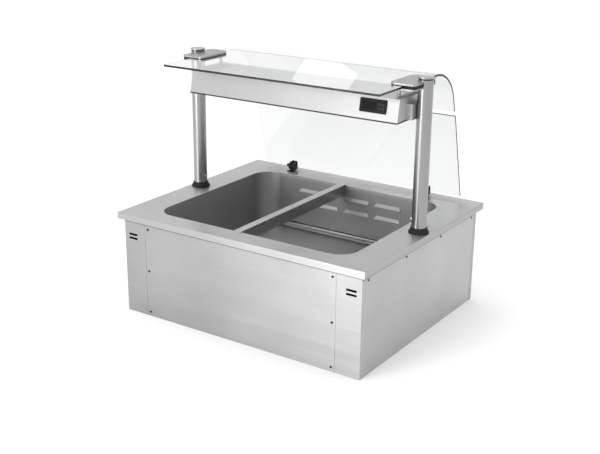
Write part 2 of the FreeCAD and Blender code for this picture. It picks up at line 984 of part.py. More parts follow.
def clamp_bolts():
    seat = gantry_top_z - sheet
    bolts = []
    for x, y in clamp_bolt_places():
        head = hexagon("z", clamp_bolt_head_radius, x, y, seat - clamp_bolt_head_height, seat)
        tip = upper_plate_bottom + clamp_bolt_engagement - running_gap
        bolts.append(fused([head, rod("z", clamp_bolt_radius, x, y, seat, tip)]))
    return bolts


# Glass

def bend_point(radius, turn, tail):
    """Point (y, z) of the shelf's bend after a turn, and then straight on along the tail."""
    y = bend_start_y + radius * math.sin(turn) + tail * math.cos(turn)
    z = bend_centre_z + radius * math.cos(turn) - tail * math.sin(turn)
    return y, z


def curved_glass():
    """Flat shelf whose rear edge bends down in one arc and a short straight tail."""
    angle = math.radians(shelf_bend_angle)
    outer = shelf_bend_radius + glass_thickness / 2
    inner = shelf_bend_radius - glass_thickness / 2
    front = post_line_y - shelf_front_reach
    x = -glass_half

    def on_arc(radius, turn, tail):
        y, z = bend_point(radius, turn, tail)
        return Vector(x, y, z)

    outline = [
        Part.makeLine(Vector(x, front, glass_top), on_arc(outer, 0, 0)),
        Part.Arc(on_arc(outer, 0, 0), on_arc(outer, angle / 2, 0), on_arc(outer, angle, 0)).toShape(),
        Part.makeLine(on_arc(outer, angle, 0), on_arc(outer, angle, shelf_tail)),
        Part.makeLine(on_arc(outer, angle, shelf_tail), on_arc(inner, angle, shelf_tail)),
        Part.makeLine(on_arc(inner, angle, shelf_tail), on_arc(inner, angle, 0)),
        Part.Arc(on_arc(inner, angle, 0), on_arc(inner, angle / 2, 0), on_arc(inner, 0, 0)).toShape(),
        Part.makeLine(on_arc(inner, 0, 0), Vector(x, front, glass_bottom)),
        Part.makeLine(Vector(x, front, glass_bottom), Vector(x, front, glass_top)),
    ]
    glass = Part.Face(Part.Wire(outline)).extrude(Vector(2 * glass_half, 0, 0))
    corners = []
    for edge in glass.Edges:
        box = edge.BoundBox
        if abs(box.YMax - front) < match and box.ZLength > glass_thickness - match:
            corners.append(edge)
    glass = glass.makeFillet(glass_corner_radius, corners)
    for x_side, y in clamp_bolt_places():
        for hole_x in (-x_side, x_side):
            glass = glass.cut(drill("z", glass_hole_radius, hole_x, y, glass_bottom, glass_top))
    return glass


def rear_glass_rest():
    """Height of the rear glass above the hinge line and its lean, so that it ends below the tail."""
    tail_y, tail_z = bend_point(shelf_bend_radius, math.radians(shelf_bend_angle), shelf_tail)
    back = hinge_y - tail_y - rear_glass_gap_back
    up = tail_z - rear_glass_gap_down - hinge_z
    distance = math.hypot(back, up)
    height = math.sqrt(distance ** 2 - hinge_offset ** 2)
    return height, math.atan2(back, up) + math.asin(hinge_offset / distance)


def tilted(shape):
    """Turn a piece drawn upright about the hinge line to the resting lean of the glass."""
    lean = rear_glass_rest()[1]
    shape.rotate(Vector(0, 0, 0), Vector(1, 0, 0), math.degrees(lean))
    shape.translate(Vector(0, hinge_y, hinge_z))
    return shape


def rear_glass():
    near = hinge_offset - glass_thickness / 2
    height = rear_glass_rest()[0]
    corners = rectangle(-glass_half, glass_half, -hinge_drop, height, glass_corner_radius)
    return tilted(rounded_prism(corners, "y", near, near + glass_thickness))


def jaw_sides():
    """Inner and outer faces of the two cheeks of a jaw, from its middle."""
    inner = lug_width / 2 + running_gap
    return inner, inner + jaw_cheek


def hinge_jaw(x):
    inner, outer = jaw_sides()
    slot_front = hinge_offset - glass_thickness / 2 - shoe_thickness
    slot_rear = hinge_offset + glass_thickness / 2 + shoe_thickness
    slot_floor = -hinge_drop - shoe_thickness
    drum = rod("x", jaw_radius, 0, 0, x - outer, x + outer)
    plate_corners = rectangle(x - outer, x + outer, jaw_plate_start, jaw_plate_end, sheet)
    plate = rounded_prism(plate_corners, "y", slot_rear, slot_rear + jaw_plate)
    jaw = fused([drum, plate])
    reach = jaw_radius + overrun
    slot_reach = outer + overrun
    jaw = jaw.cut(block(x - slot_reach, x + slot_reach, slot_front, slot_rear, slot_floor, reach))
    jaw = jaw.cut(block(x - inner, x + inner, -reach, slot_rear, -reach, reach))
    bore = hinge_pin_radius + push_fit
    return tilted(jaw.cut(drill("x", bore, 0, 0, x - outer, x + outer)))


def glass_shoe(x, side):
    """Rubber channel between the glass and one cheek."""
    inner, outer = jaw_sides()
    near = min(side * inner, side * outer)
    far = max(side * inner, side * outer)
    front = hinge_offset - glass_thickness / 2
    rear = hinge_offset + glass_thickness / 2
    path = [(rear, shoe_reach), (rear, -hinge_drop), (front, -hinge_drop), (front, shoe_reach)]
    return tilted(prism(folded_outline(path, shoe_thickness), "x", x + near, x + far))


def hinge_base(x):
    half = lug_width / 2
    foot_top = counter_height + lug_foot_thickness
    stem_front = hinge_y - lug_stem_front
    stem_rear = hinge_y - lug_stem_rear
    knuckle = rod("x", lug_radius, hinge_y, hinge_z, x - half, x + half)
    stem_corners = [
        (stem_front, counter_height, 0),
        (stem_rear, counter_height, 0),
        (stem_rear, hinge_z - lug_radius, 0),
        (hinge_y, hinge_z - lug_radius, 0),
        (hinge_y, hinge_z + lug_radius, 0),
        (stem_front + lug_radius, hinge_z + lug_radius, 0),
        (stem_front, hinge_z, lug_radius / 2),
    ]
    stem = rounded_prism(stem_corners, "x", x - half, x + half)
    outer = jaw_sides()[1]
    foot_front = hinge_y - lug_foot_reach
    foot_rear = hinge_y - lug_foot_gap
    foot_corners = rectangle(x - outer, x + outer, foot_front, foot_rear, sheet)
    foot = rounded_prism(foot_corners, "z", counter_height, foot_top)
    whole = fused([knuckle, stem, foot])
    bore = hinge_pin_radius + push_fit
    return whole.cut(drill("x", bore, hinge_y, hinge_z, x - half, x + half))


def hinge_pin(x):
    """Pin with a fluted lock knob on the left and a flat head on the right."""
    outer = jaw_sides()[1]
    left = x - outer - running_gap
    right = x + outer + running_gap
    shank = rod("x", hinge_pin_radius, hinge_y, hinge_z, left, right)
    head = rod("x", hinge_pin_head_radius, hinge_y, hinge_z, right, right + hinge_pin_head_height)
    knob_end = left - hinge_knob_length
    knob = rod("x", hinge_knob_radius, hinge_y, hinge_z, knob_end, left)
    for index in range(hinge_knob_flutes):
        angle = 2 * math.pi * index / hinge_knob_flutes
        y = hinge_y + hinge_knob_radius * math.cos(angle)
        z = hinge_z + hinge_knob_radius * math.sin(angle)
        knob = knob.cut(drill("x", hinge_knob_flute_radius, y, z, knob_end, left))
    return fused([shank, head, knob])


# Gantry

def gantry_half_width(level):
    """Half width of the gantry section at a height above the counter."""
    share = (level - gantry_bottom) / gantry_height
    return (gantry_bottom_width + share * (gantry_top_width - gantry_bottom_width)) / 2


def gantry_section(start, end, bottom, top):
    """Solid slice of the gantry section between two heights above the counter."""
    low = gantry_half_width(bottom)
    high = gantry_half_width(top)
    corners = [
        (post_line_y - low, counter_height + bottom),
        (post_line_y + low, counter_height + bottom),
        (post_line_y + high, counter_height + top),
        (post_line_y - high, counter_height + top),
    ]
    return prism(corners, "x", start, end)


def fascia_angle():
    """Lean of the fascia from upright."""
    return math.degrees(math.atan2((gantry_bottom_width - gantry_top_width) / 2, gantry_height))


def on_fascia(shape):
    """Set a piece drawn on the plane y = 0, facing -Y, onto the leaning fascia at the controller."""
    level = gantry_top - controller_drop
    shape.rotate(Vector(0, 0, 0), Vector(1, 0, 0), -fascia_angle())
    shape.translate(Vector(controller_x, post_line_y - gantry_half_width(level), counter_height + level))
    return shape


def gantry_housing():
    frame_top = gantry_bottom + gantry_frame_height
    low = gantry_half_width(frame_top)
    high = gantry_half_width(gantry_top)
    z0 = counter_height + frame_top
    path = [
        (post_line_y - low + gantry_lip, z0),
        (post_line_y - low, z0),
        (post_line_y - high, gantry_top_z),
        (post_line_y + high, gantry_top_z),
        (post_line_y + low, z0),
        (post_line_y + low - gantry_lip, z0),
    ]
    reach = gantry_end_x - sheet
    housing = prism(folded_outline(path[::-1], sheet), "x", -reach, reach)
    half_length = controller_body_length / 2 + running_gap
    half_height = controller_body_height / 2 + running_gap
    cutout = block(-half_length, half_length, -overrun, overrun, -half_height, half_height)
    housing = housing.cut(on_fascia(cutout))
    hole = clamp_bolt_radius + running_gap
    places = [(side * x, y) for x, y in clamp_bolt_places() for side in (-1, 1)]
    return with_holes(housing, "z", places, hole, gantry_top_z - sheet, gantry_top_z)


def gantry_end():
    return gantry_section(gantry_end_x - sheet, gantry_end_x, gantry_bottom + gantry_frame_height, gantry_top)


def gantry_bracket():
    """Block between the gantry end and the tube, hollowed to sit round the post."""
    z0 = gantry_base_z + gantry_frame_height
    corners = rectangle(
        post_line_y - bracket_width / 2, post_line_y + bracket_width / 2, z0, z0 + bracket_height, sheet
    )
    body = rounded_prism(corners, "x", gantry_end_x, gantry_end_x + bracket_reach)
    saddle = post_radius + running_gap / 2
    return body.cut(drill("z", saddle, post_x, post_line_y, z0, z0 + bracket_height))


def gantry_under_frame():
    frame = gantry_section(-gantry_end_x, gantry_end_x, gantry_bottom, gantry_bottom + gantry_frame_height)
    half_length = gantry_end_x - diffuser_margin
    half_width = gantry_bottom_width / 2 - diffuser_margin
    z0 = gantry_base_z
    z1 = gantry_base_z + gantry_frame_height
    ledge = diffuser_ledge
    seat = z1 - diffuser_thickness
    front = post_line_y - half_width
    rear = post_line_y + half_width
    low = block(-half_length, half_length, front, rear, z0 - overrun, z1 + overrun)
    reach = half_length + ledge
    wide = block(-reach, reach, front - ledge, rear + ledge, seat, z1 + overrun)
    return frame.cut(low).cut(wide)


def light_diffuser():
    ledge = diffuser_ledge - running_gap
    half_length = gantry_end_x - diffuser_margin + ledge
    half_width = gantry_bottom_width / 2 - diffuser_margin + ledge
    front = post_line_y - half_width
    rear = post_line_y + half_width
    top = gantry_base_z + gantry_frame_height
    return block(-half_length, half_length, front, rear, top - diffuser_thickness, top)


def led_strip():
    top = gantry_top_z - sheet
    half = led_width / 2
    corners = [
        (post_line_y - half, top),
        (post_line_y + half, top),
        (post_line_y + half / 2, top - led_height),
        (post_line_y - half / 2, top - led_height),
    ]
    led_half = gantry_end_x - led_end_margin
    profile = prism(corners, "x", -led_half, led_half)
    chips = [profile]
    low = top - led_height - led_chip_height
    size = led_chip_size / 2
    for x in spread(led_chip_count, led_half - led_width):
        chips.append(block(x - size, x + size, post_line_y - size, post_line_y + size, low, top - led_height))
    return fused(chips)


# Controller on the fascia

def display_range():
    """Left and right ends of the display, from the middle of the bezel."""
    left = -controller_length / 2 + display_inset
    return left, left + display_length


def button_places():
    """Place (x, z) of each button by name, from the middle of the bezel."""
    right = controller_length / 2 - button_column_inset
    places = {}
    for row, names in enumerate(button_names):
        for column, name in enumerate(names):
            x = right - (1 - column) * button_column_pitch
            z = (1 / 2 - row) * button_row_pitch
            places[name] = (x, z)
    return places


def button_form(name, grow, start, end):
    x, z = button_places()[name]
    half_width = button_width / 2 + grow
    half_height = button_height / 2 + grow
    radius = button_corner_radius + grow
    corners = rectangle(x - half_width, x + half_width, z - half_height, z + half_height, radius)
    return rounded_prism(corners, "y", start, end)


def controller_bezel():
    half_length = controller_length / 2
    half_height = controller_height / 2
    corners = rectangle(-half_length, half_length, -half_height, half_height, controller_corner_radius)
    bezel = rounded_prism(corners, "y", -controller_depth, 0)
    front_edges = [edge for edge in bezel.Edges if edge.BoundBox.YMax < -controller_depth + match]
    bezel = bezel.makeChamfer(controller_edge, front_edges)
    left, right = display_range()
    half_display = display_height / 2
    pocket = rectangle(left, right, -half_display, half_display, controller_corner_radius / 2)
    pocket_floor = -controller_depth + display_recess + display_thickness
    bezel = bezel.cut(rounded_prism(pocket, "y", -controller_depth - overrun, pocket_floor))
    for name in button_places():
        bezel = bezel.cut(button_form(name, running_gap, -controller_depth - overrun, overrun))
    return on_fascia(bezel)


def display_window():
    left, right = display_range()
    half_display = display_height / 2 - push_fit
    front = -controller_depth + display_recess
    radius = controller_corner_radius / 2
    corners = rectangle(left + push_fit, right - push_fit, -half_display, half_display, radius)
    return on_fascia(rounded_prism(corners, "y", front, front + display_thickness))


def controller_button(name):
    front = -controller_depth - button_proud
    return on_fascia(button_form(name, 0, front, front + button_length))


def controller_body():
    half_length = controller_body_length / 2
    half_height = controller_body_height / 2
    corners = rectangle(-half_length, half_length, -half_height, half_height, controller_corner_radius)
    return on_fascia(rounded_prism(corners, "y", 0, controller_body_depth))


# Evaporator and fans

def coil_tube_places():
    """Places (y, z) of the straight tubes of the coil."""
    middle_y = liner_rear + coil_depth / 2
    middle_z = counter_height - coil_top_drop - coil_height / 2
    places = []
    for column in range(tube_columns):
        y = middle_y + (column - (tube_columns - 1) / 2) * coil_depth / tube_columns
        for row in range(tube_rows):
            z = middle_z + (row - (tube_rows - 1) / 2) * coil_height / tube_rows
            places.append((y, z))
    return places


def return_bend(x, side, first, second):
    """Half-turn of tube that joins two straight tubes outside the coil."""
    middle = Vector(x, (first[0] + second[0]) / 2, (first[1] + second[1]) / 2)
    start = Vector(x, first[0], first[1])
    end = Vector(x, second[0], second[1])
    radius = (end - start).Length / 2
    far = middle + Vector(side * radius, 0, 0)
    path = Part.Wire(Part.Arc(start, far, end).toShape())
    circle = Part.Wire(Part.makeCircle(tube_radius, start, Vector(1, 0, 0)))
    return path.makePipeShell([circle], True, False)


def evaporator_tubes():
    """One serpentine of four straight tubes and three return bends."""
    half = coil_half + coil_plate_thickness
    first, second, third, fourth = coil_tube_places()
    order = [first, second, fourth, third]
    pieces = [rod("x", tube_radius, y, z, -half, half) for y, z in order]
    for index in range(len(order) - 1):
        side = 1 if index % 2 == 0 else -1
        pieces.append(return_bend(side * half, side, order[index], order[index + 1]))
    return fused(pieces)


def evaporator_coil():
    """Serpentine with thin fins between two end plates, all bonded to the tubes."""
    bottom = counter_height - coil_top_drop - coil_height
    top = counter_height - coil_top_drop
    half = coil_half
    plate_spans = [(-half - coil_plate_thickness, -half), (half, half + coil_plate_thickness)]
    count = int(round(2 * half / fin_pitch)) - 1
    fin_spans = [(x, x + fin_thickness) for x in spread(count, half - fin_pitch)]
    pieces = [evaporator_tubes()]
    for x0, x1 in plate_spans + fin_spans:
        pieces.append(block(x0, x1, liner_rear, liner_rear + coil_depth, bottom, top))
    return pieces[0].multiFuse(pieces[1:])


def fan_places():
    """Middle (x, y) of each fan in the duct behind the well."""
    y = (liner_rear + duct_rear) / 2
    return [(-fan_spacing / 2, y), (fan_spacing / 2, y)]


def fan_plate():
    """Shelf across the duct with the two moulded fan frames that hang below it."""
    top = counter_height - fan_plate_drop
    bottom = top - fan_plate_sheet
    frame_bottom = bottom - fan_depth
    shelf = block(-panel_half, panel_half, liner_rear, duct_rear, bottom, top)
    for x, y in fan_places():
        half = fan_size / 2
        corners = rectangle(x - half, x + half, y - half, y + half, fan_corner_radius)
        shelf = fused([shelf, rounded_prism(corners, "z", frame_bottom, bottom)])
        shelf = shelf.cut(drill("z", fan_bore_radius, x, y, frame_bottom, top))
        shelf = fused([shelf, fan_stator(x, y, frame_bottom)])
    return shelf


def fan_stator(x, y, bottom):
    """Motor boss on its struts, with the shaft that the rotor runs on."""
    pieces = [rod("z", fan_motor_radius, x, y, bottom, bottom + fan_motor_height)]
    for index in range(fan_strut_count):
        half = fan_strut_width / 2
        strut = block(0, fan_bore_radius + sheet, -half, half, 0, fan_strut_height)
        strut.rotate(Vector(0, 0, 0), Vector(0, 0, 1), 90 + 360 * index / fan_strut_count)
        strut.translate(Vector(x, y, bottom))
        pieces.append(strut)
    shaft_start = bottom + fan_motor_height
    pieces.append(rod("z", fan_shaft_radius, x, y, shaft_start, shaft_start + fan_shaft_height))
    return fused(pieces)


def blade_section(radius, angle):
    """Slanted outline of a blade, square to a spoke of the rotor."""
    rise = fan_blade_height / 2
    run = rise / math.tan(math.radians(angle))
    half = fan_blade_thickness / (2 * math.sin(math.radians(angle)))
    corners = [(-run - half, -rise), (-run + half, -rise), (run + half, rise), (run - half, rise)]
    points = [Vector(radius, across, height) for across, height in corners]
    return Part.makePolygon(points + points[:1])


def fan_rotor(x, y):
    """Hub cup with twisted blades, lofted from the hub to the tip."""
    bottom = counter_height - fan_plate_drop - fan_plate_sheet - fan_depth + fan_motor_height + running_gap
    hub = rod("z", fan_hub_radius, 0, 0, 0, fan_hub_height)
    hub = hub.makeFillet(fan_blade_thickness, level_edges(hub, fan_hub_height))
    root = blade_section(fan_hub_radius - fan_blade_thickness, fan_blade_root_angle)
    tip = blade_section(fan_tip_radius + overrun, fan_blade_tip_angle)
    blade = Part.makeLoft([root, tip], True, True)
    blade.translate(Vector(0, 0, fan_hub_height / 2))
    pieces = [hub]
    for index in range(fan_blades):
        copy = blade.copy()
        copy.rotate(Vector(0, 0, 0), Vector(0, 0, 1), 360 * index / fan_blades)
        pieces.append(copy)
    rotor = fused(pieces).common(rod("z", fan_tip_radius, 0, 0, 0, fan_hub_height))
    rotor = rotor.cut(rod("z", fan_shaft_radius + push_fit, 0, 0, -overrun, fan_shaft_height))
    rotor.translate(Vector(x, y, bottom))
    return rotor


# All pieces, written one file each

save("counter_top", counter_top())
save("well_liner", well_liner())
save("rear_air_panel", rear_air_panel())
save("air_return_sill", air_return_sill())
save("divider_bar", divider_bar())
save("well_insulation", well_insulation())
save("drain_fitting", drain_fitting())
save("drain_nut", drain_nut())
save("drain_strainer", drain_strainer())

save("front_panel", front_panel())
save("right_front_strip", right_front_strip())
save("left_front_strip", mirrored(right_front_strip()))
save("right_side_panel", right_side_panel())
save("left_side_panel", mirrored(right_side_panel()))
save("rear_panel", rear_panel())
save("base_plate", base_plate())
save("front_panel_screws", front_panel_screws())
save("side_panel_screws", side_panel_screws())
save("side_rails", [side_rail(), mirrored(side_rail())])
save("cable_gland", cable_gland())
save("terminal_box", terminal_box())

save("right_post", post())
save("left_post", mirrored(post()))
save("post_feet", [post_foot(), mirrored(post_foot())])
save("post_screws", [post_screw(), mirrored(post_screw())])
save("post_backing_plates", [backing_plate(), mirrored(backing_plate())])
save("post_nuts", [post_nut(), mirrored(post_nut())])
save("post_collars", [post_collar(), mirrored(post_collar())])
save("post_caps", [post_cap(), mirrored(post_cap())])

save("right_clamp_plate", clamp_plate())
save("left_clamp_plate", mirrored(clamp_plate()))
save("glass_gaskets", [glass_gasket(), mirrored(glass_gasket())])
save("lower_clamp_plates", [lower_clamp_plate(), mirrored(lower_clamp_plate())])
save("clamp_spacers", clamp_spacers() + [mirrored(spacer) for spacer in clamp_spacers()])
save("clamp_bolts", clamp_bolts() + [mirrored(bolt) for bolt in clamp_bolts()])

save("curved_glass", curved_glass())
save("rear_glass", rear_glass())
save("hinge_bases", [hinge_base(-hinge_x), hinge_base(hinge_x)])
save("left_hinge_jaw", hinge_jaw(-hinge_x))
save("right_hinge_jaw", hinge_jaw(hinge_x))
save("hinge_pins", [hinge_pin(-hinge_x), hinge_pin(hinge_x)])
save("glass_shoes", [glass_shoe(x, side) for x in (-hinge_x, hinge_x) for side in (-1, 1)])

save("gantry_housing", gantry_housing())
save("right_gantry_end", gantry_end())
save("left_gantry_end", mirrored(gantry_end()))
save("gantry_brackets", [gantry_bracket(), mirrored(gantry_bracket())])
save("gantry_under_frame", gantry_under_frame())
save("light_diffuser", light_diffuser())
save("led_strip", led_strip())

save("controller_bezel", controller_bezel())
save("display_window", display_window())
save("controller_body", controller_body())
for button in button_places():
    save(button, controller_button(button))

save("evaporator_coil", evaporator_coil())
save("fan_plate", fan_plate())
for side, (fan_x, fan_y) in zip(("left", "right"), fan_places()):
    save(side + "_fan_rotor", fan_rotor(fan_x, fan_y))
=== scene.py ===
import math

import bpy
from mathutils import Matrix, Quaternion, Vector

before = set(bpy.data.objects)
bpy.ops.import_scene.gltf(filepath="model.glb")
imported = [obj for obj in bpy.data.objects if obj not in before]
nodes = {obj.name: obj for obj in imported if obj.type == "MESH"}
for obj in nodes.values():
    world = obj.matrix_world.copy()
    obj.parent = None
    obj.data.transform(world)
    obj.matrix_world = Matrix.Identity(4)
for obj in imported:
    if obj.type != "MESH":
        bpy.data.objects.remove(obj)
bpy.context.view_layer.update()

# Camera: place and reach in metres, angles in degrees, lens and sensor in millimetres

CAMERA_PLACE = (1.6740, -2.5428, 1.3067)
CAMERA_REACH = 100.0
CAMERA_AZIMUTH = 35.311
CAMERA_ELEVATION = 19.45
CAMERA_LENS = 63.757
CAMERA_SENSOR = 36.0
CAMERA_SHIFT = (0.0527, 0.0100)


def make_camera():
    data = bpy.data.cameras.new("camera")
    data.lens = CAMERA_LENS
    data.sensor_width = CAMERA_SENSOR
    data.shift_x, data.shift_y = CAMERA_SHIFT
    data.clip_end = CAMERA_REACH
    camera = bpy.data.objects.new("camera", data)
    azimuth = math.radians(CAMERA_AZIMUTH)
    elevation = math.radians(CAMERA_ELEVATION)
    back = Vector((
        math.sin(azimuth) * math.cos(elevation),
        -math.cos(azimuth) * math.cos(elevation),
        math.sin(elevation),
    ))
    camera.location = CAMERA_PLACE
    camera.rotation_euler = back.to_track_quat("Z", "Y").to_euler()
    bpy.context.scene.collection.objects.link(camera)
    bpy.context.scene.camera = camera


# Places on the part: heights in metres of the cap's rim, and of the painted shade line under the
# counter's lip

CAP_RIM_HEIGHT = 0.7519
FRONT_LIP_SHADE_HEIGHTS = (0.2842, 0.2882)
SIDE_LIP_SHADE_HEIGHTS = (0.2795, 0.2835)

# Tones: the share of the colour left in the painted shade under the lip and in the painted shade on a
# folded lip's upright faces, and the own tone of the painted shade in the cap's groove

PAINTED_LIP_SHADE_SHARE = 0.3
UPRIGHT_SHADE_SHARE = 0.87
GROOVE_SHADE_TONE = 0.01

# Noise: the values most of it lies between, and its scales, where a larger one is finer

NOISE_RANGE = (0.3, 0.7)
STEEL_FINE = 900.0
STEEL_BROAD = 90.0
STEEL_CLOUD = 5.0
SATIN_CLOUD = 40.0
SCREW_CLOUD = 300.0
MOULDED_GRAIN = 1500.0
FOAM_GRAIN = 400.0
GLASS_SMEAR = 6.0
FLOOR_CLOUD = 0.8

# Noise: how many times finer the grain is than the clouds of the same surface

SATIN_FINENESS = 12
MOULDED_FINENESS = 40

# Noise: how many layers of ever finer detail it has, and how strong each is beside the one before

PLAIN_LAYERS = 2.0
RICH_LAYERS = 3.0
PLAIN_HARSHNESS = 0.5
GRAIN_HARSHNESS = 0.6

# Brush: scale of its grain along it, how far it pulls reflections out, and the turn of that on a post

ALONG_BRUSH = 0.01
BRUSH_PULL = 0.85
POST_TURN = 0.25

# Relief: its depth in metres at full strength, and the strength on each kind of surface

RELIEF_DEPTH = 0.0002
SHEET_RELIEF = 0.4
INNER_RELIEF = 0.2
POST_RELIEF = 0.15
SATIN_RELIEF = 0.15
MOULDED_RELIEF = 0.2
FOAM_RELIEF = 0.8

# Roughness: middle values that several sheets share, and how far noise takes it below and above them

SHEET_ROUGH = 0.34
INNER_ROUGH = 0.46
MATT_ROUGH = 0.60
BRUSHED_SWING = (0.04, 0.06)
OTHER_SWING = (0.05, 0.08)

# Gloss of a moulding that isn't given its own

PLAIN_GLOSS = 0.5

# Glass: how far it bends light, how rough it is, and the colour and density of its depth

GLASS_IOR = 1.5
GLASS_ROUGH = (0.0, 0.012)
GLASS_DEPTH_COLOR = (0.42, 0.76, 0.66)
GLASS_DEPTH_DENSITY = 6.0


def grey(value):
    return (value, value, value)


# Every material of this script under its own name, because Blender numbers one whose name is taken

materials = {}


def new_material(name):
    material = bpy.data.materials.new(name)
    material.use_nodes = True
    tree = material.node_tree
    tree.nodes.clear()
    shader = tree.nodes.new("ShaderNodeBsdfPrincipled")
    output = tree.nodes.new("ShaderNodeOutputMaterial")
    tree.links.new(shader.outputs["BSDF"], output.inputs["Surface"])
    materials[name] = material
    return tree, shader


def noise(tree, scale, layers=PLAIN_LAYERS, harshness=PLAIN_HARSHNESS, stretch=(1.0, 1.0, 1.0)):
    """Noise in the object's own metres, its features drawn out where stretch is small."""
    place = tree.nodes.new("ShaderNodeTexCoord")
    mapping = tree.nodes.new("ShaderNodeMapping")
    mapping.inputs["Scale"].default_value = stretch
    texture = tree.nodes.new("ShaderNodeTexNoise")
    texture.inputs["Scale"].default_value = scale
    texture.inputs["Detail"].default_value = layers
    texture.inputs["Roughness"].default_value = harshness
    tree.links.new(place.outputs["Object"], mapping.inputs["Vector"])
    tree.links.new(mapping.outputs["Vector"], texture.inputs["Vector"])
    return texture.outputs["Fac"]


def ramp(tree, value, source, target, shape="SMOOTHSTEP"):
    """Value mapped from the source range onto the target range."""
    node = tree.nodes.new("ShaderNodeMapRange")
    node.interpolation_type = shape
    node.inputs["From Min"].default_value, node.inputs["From Max"].default_value = source
    node.inputs["To Min"].default_value, node.inputs["To Max"].default_value = target
    tree.links.new(value, node.inputs["Value"])
    return node.outputs["Result"]


def spread(tree, value, target=(0.0, 1.0)):
    """Noise mapped evenly onto a range."""
    return ramp(tree, value, NOISE_RANGE, target, "LINEAR")


def blend_colors(tree, factor, first, second):
    node = tree.nodes.new("ShaderNodeMix")
    node.data_type = "RGBA"
    node.inputs["A"].default_value = (*first, 1.0)
    node.inputs["B"].default_value = (*second, 1.0)
    tree.links.new(factor, node.inputs["Factor"])
    return node.outputs["Result"]


def average(tree, first, second):
    node = tree.nodes.new("ShaderNodeMath")
    node.operation = "ADD"
    half = tree.nodes.new("ShaderNodeMath")
    half.operation = "MULTIPLY"
    half.inputs[1].default_value = 0.5
    tree.links.new(first, node.inputs[0])
    tree.links.new(second, node.inputs[1])
    tree.links.new(node.outputs["Value"], half.inputs[0])
    return half.outputs["Value"]


def height_of(tree, output):
    """Z part of one of the object's own coordinates."""
    place = tree.nodes.new("ShaderNodeTexCoord")
    parts = tree.nodes.new("ShaderNodeSeparateXYZ")
    tree.links.new(place.outputs[output], parts.inputs["Vector"])
    return parts.outputs["Z"]


def scaled_color(tree, color, share):
    node = tree.nodes.new("ShaderNodeMix")
    node.data_type = "RGBA"
    node.blend_type = "MULTIPLY"
    node.inputs["Factor"].default_value = 1.0
    tree.links.new(color, node.inputs["A"])
    tree.links.new(share, node.inputs["B"])
    return node.outputs["Result"]


def paint_shade_on_upright_faces(tree, color, share):
    """Painted shade: colour as it is on level faces, and a share of it on upright ones."""
    level = tree.nodes.new("ShaderNodeMath")
    level.operation = "ABSOLUTE"
    tree.links.new(height_of(tree, "Normal"), level.inputs[0])
    left = ramp(tree, level.outputs["Value"], (0.0, 1.0), (share, 1.0))
    return scaled_color(tree, color, left)


def paint_shade_under_lip(tree, color, heights):
    """Painted shade line along the top of a panel, under the counter's lip."""
    left = ramp(tree, height_of(tree, "Object"), heights, (1.0, PAINTED_LIP_SHADE_SHARE))
    return scaled_color(tree, color, left)


def paint_groove_shade_below_rim(tree, shader, color):
    """Painted shade: black instead of the metal below the cap's rim, in the cap's groove."""
    above = tree.nodes.new("ShaderNodeMath")
    above.operation = "GREATER_THAN"
    above.inputs[1].default_value = CAP_RIM_HEIGHT
    paint = tree.nodes.new("ShaderNodeMix")
    paint.data_type = "RGBA"
    paint.inputs["A"].default_value = (*grey(GROOVE_SHADE_TONE), 1.0)
    tree.links.new(height_of(tree, "Object"), above.inputs[0])
    tree.links.new(above.outputs["Value"], paint.inputs["Factor"])
    tree.links.new(above.outputs["Value"], shader.inputs["Metallic"])
    tree.links.new(color, paint.inputs["B"])
    return paint.outputs["Result"]


def add_relief(tree, shader, height, strength):
    node = tree.nodes.new("ShaderNodeBump")
    node.inputs["Strength"].default_value = strength
    node.inputs["Distance"].default_value = RELIEF_DEPTH
    tree.links.new(height, node.inputs["Height"])
    tree.links.new(node.outputs["Normal"], shader.inputs["Normal"])


def add_roughness(tree, shader, value, rough, swing):
    """Roughness that noise takes below and above its middle value."""
    below, above = swing
    target = (rough - below, rough + above)
    tree.links.new(spread(tree, value, target), shader.inputs["Roughness"])


def add_pull(tree, shader, along, turned):
    """Reflections pulled out across the grain, that pull swung round by a share of a full turn."""
    across = tree.nodes.new("ShaderNodeTangent")
    across.direction_type = "RADIAL"
    across.axis = along.upper()
    tree.links.new(across.outputs["Tangent"], shader.inputs["Tangent"])
    shader.inputs["Anisotropic"].default_value = BRUSH_PULL
    shader.inputs["Anisotropic Rotation"].default_value = turned


def brushed_steel(name, dark, light, rough, along, relief=SHEET_RELIEF,
                  pulled=False, turned=0.0, shade_upright_faces=False, lip_shade_heights=None):
    """Stainless sheet with the fine grain of a brush drawn along one axis.

    Pulled draws its reflections out across the grain, and turned swings that
    pull round. It can paint shade on the upright faces of its lips, and a line
    of painted shade along a panel's top edge under the counter's lip, between two given heights.
    """
    tree, shader = new_material(name)
    stretch = [ALONG_BRUSH if axis == along else 1.0 for axis in "xyz"]
    fine = noise(tree, STEEL_FINE, PLAIN_LAYERS, GRAIN_HARSHNESS, stretch)
    broad = noise(tree, STEEL_BROAD, RICH_LAYERS, GRAIN_HARSHNESS, stretch)
    cloud = noise(tree, STEEL_CLOUD)
    grain = average(tree, fine, broad)
    tone = average(tree, grain, cloud)
    color = blend_colors(tree, spread(tree, tone), dark, light)
    # Painted shade on the upright faces of the lips
    if shade_upright_faces:
        color = paint_shade_on_upright_faces(tree, color, UPRIGHT_SHADE_SHARE)
    # Painted shade: a dark line along the panel's top edge, under the counter's lip
    if lip_shade_heights:
        color = paint_shade_under_lip(tree, color, lip_shade_heights)
    shader.inputs["Metallic"].default_value = 1.0
    tree.links.new(color, shader.inputs["Base Color"])
    add_roughness(tree, shader, grain, rough, BRUSHED_SWING)
    add_relief(tree, shader, grain, relief)
    if pulled:
        add_pull(tree, shader, along, turned)


